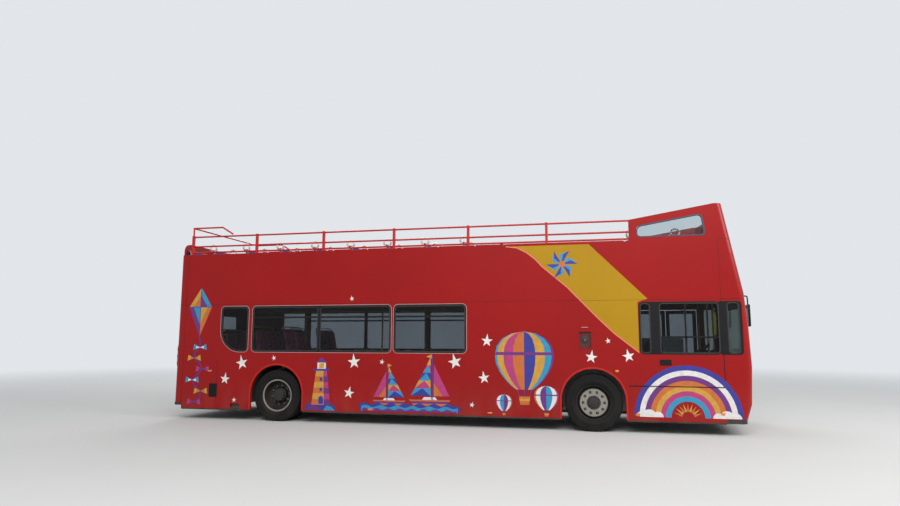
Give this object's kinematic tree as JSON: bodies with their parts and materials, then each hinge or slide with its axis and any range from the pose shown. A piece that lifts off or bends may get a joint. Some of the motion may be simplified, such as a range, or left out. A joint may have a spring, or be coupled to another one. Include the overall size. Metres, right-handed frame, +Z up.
{
  "type": "open top double decker bus",
  "caption": "Two-axle double decker bus with an open upper deck behind a glazed front screen, doors, stairs, seats and steered front wheels.",
  "frame": {"origin": "on the ground under the centre of the body's box", "axes": "+X towards the front, +Y to the nearside (the bus's left), +Z up"},
  "size_m": [10.6648, 2.52, 3.8069],
  "materials": {
    "body_red": "gloss",
    "frame_dark": "matte",
    "rail_red": "gloss",
    "tyre": "matte",
    "wheel_front": "satin",
    "wheel_rear": "satin",
    "glass": "gloss",
    "door_frame": "satin",
    "door_arm": "gloss",
    "seat": "matte",
    "deck_seat": "matte",
    "floor": "matte",
    "cab": "matte",
    "steering": "satin",
    "lamp": "gloss",
    "tail_lamp": "gloss",
    "mirror_black": "satin",
    "axle": "matte",
    "spring": "matte",
    "engine": "matte"
  },
  "bodies": {
    "root": {"offside_lower_side": "body_red", "nearside_lower_side": "body_red", "offside_upper_side": "body_red", "nearside_upper_side": "body_red", "front_lower_panel": "body_red", "front_upper_panel": "body_red", "screen_hood": "body_red", "rear_lower_body": "body_red", "rear_upper_panel": "body_red", "saloon_glass": "glass", "front_glass": "glass", "hood_glass": "glass", "lower_floor": "floor", "rear_floor": "floor", "wheel_boxes": "floor", "cab_podium": "floor", "upper_floor": "floor", "staircase": "floor", "stair_guard": "cab", "upper_seats": "deck_seat", "lower_seats": "seat", "rear_benches": "seat", "side_rails": "rail_red", "rear_rail": "rail_red", "cab_partition": "cab", "dashboard": "cab", "steering_column": "cab", "driver_seat": "seat", "chassis_frame": "frame_dark", "engine_bearers": "frame_dark", "towing_plates": "frame_dark", "engine_block": "engine", "front_axle": "axle", "rear_axle": "axle", "air_springs": "spring", "headlamps": "lamp", "tail_lamps": "tail_lamp", "mirrors": "mirror_black", "sign_box": "cab"},
    "knuckle_nearside": {"knuckle_nearside": "axle"},
    "knuckle_offside": {"knuckle_offside": "axle"},
    "track_rod": {"track_rod": "frame_dark"},
    "wheel_front_nearside": {"tyre_front_nearside": "tyre", "rim_front_nearside": "wheel_front"},
    "wheel_front_offside": {"tyre_front_offside": "tyre", "rim_front_offside": "wheel_front"},
    "wheels_rear_nearside": {"tyres_rear_nearside": "tyre", "rim_rear_nearside": "wheel_rear"},
    "wheels_rear_offside": {"tyres_rear_offside": "tyre", "rim_rear_offside": "wheel_rear"},
    "steering_wheel": {"steering_wheel": "steering"},
    "engine_door": {"engine_door": "body_red"},
    "cab_door": {"cab_door": "cab"},
    "door_arm_rear": {"door_arm_rear": "door_arm"},
    "door_arm_front": {"door_arm_front": "door_arm"},
    "door_leaf_rear": {"door_leaf_rear": "door_frame", "door_glass_rear": "glass"},
    "door_leaf_front": {"door_leaf_front": "door_frame", "door_glass_front": "glass"}
  },
  "joints": [
    {"name": "steer_nearside", "type": "hinge", "parent": "root", "child": "knuckle_nearside", "pos_m": [2.719, 0.93, 0.478], "axis": [0, 0, 1], "range_deg": [-40, 40]},
    {"name": "steer_offside", "type": "hinge", "parent": "root", "child": "knuckle_offside", "pos_m": [2.719, -0.93, 0.478], "axis": [0, 0, 1], "range_deg": [-40, 40]},
    {"name": "track_rod_turn", "type": "hinge", "parent": "knuckle_nearside", "child": "track_rod", "pos_m": [2.539, 0.93, 0.2], "axis": [0, 0, 1], "range_deg": [-40, 40]},
    {"name": "steering_wheel_turn", "type": "hinge", "parent": "root", "child": "steering_wheel", "pos_m": [4.495, -0.72, 1.33], "axis": [-0.5736, 0, 0.8192], "range_deg": [-720, 720]},
    {"name": "roll_front_nearside", "type": "hinge", "parent": "knuckle_nearside", "child": "wheel_front_nearside", "pos_m": [2.719, 1.11, 0.478], "axis": [0, 1, 0], "continuous": true},
    {"name": "roll_front_offside", "type": "hinge", "parent": "knuckle_offside", "child": "wheel_front_offside", "pos_m": [2.719, -1.11, 0.478], "axis": [0, 1, 0], "continuous": true},
    {"name": "roll_rear_nearside", "type": "hinge", "parent": "root", "child": "wheels_rear_nearside", "pos_m": [-3.136, 1.098, 0.478], "axis": [0, 1, 0], "continuous": true},
    {"name": "roll_rear_offside", "type": "hinge", "parent": "root", "child": "wheels_rear_offside", "pos_m": [-3.136, -1.098, 0.478], "axis": [0, 1, 0], "continuous": true},
    {"name": "engine_door_hinge", "type": "hinge", "parent": "root", "child": "engine_door", "pos_m": [-5.313, 0, 1.148], "axis": [0, 1, 0], "range_deg": [0, 75]},
    {"name": "cab_door_hinge", "type": "hinge", "parent": "root", "child": "cab_door", "pos_m": [3.542, -0.3, 1.075], "axis": [0, 0, 1], "range_deg": [0, 90]},
    {"name": "door_column_rear", "type": "hinge", "parent": "root", "child": "door_arm_rear", "pos_m": [3.535, 1.187, 1.2], "axis": [0, 0, -1], "range_deg": [0, 80]},
    {"name": "door_pivot_rear", "type": "hinge", "parent": "door_arm_rear", "child": "door_leaf_rear", "pos_m": [3.845, 1.187, 1.2], "axis": [0, 0, -1], "range_deg": [-160, 0]},
    {"name": "door_column_front", "type": "hinge", "parent": "root", "child": "door_arm_front", "pos_m": [4.785, 1.187, 1.2], "axis": [0, 0, 1], "range_deg": [0, 80]},
    {"name": "door_pivot_front", "type": "hinge", "parent": "door_arm_front", "child": "door_leaf_front", "pos_m": [4.475, 1.187, 1.2], "axis": [0, 0, 1], "range_deg": [-160, 0]}
  ],
  "couplings": [
    {"joint": "steer_offside", "follows": "steer_nearside", "ratio": 1},
    {"joint": "track_rod_turn", "follows": "steer_nearside", "ratio": -1},
    {"joint": "steering_wheel_turn", "follows": "steer_nearside", "ratio": 18},
    {"joint": "door_pivot_rear", "follows": "door_column_rear", "ratio": -2},
    {"joint": "door_pivot_front", "follows": "door_column_front", "ratio": -2}
  ]
}
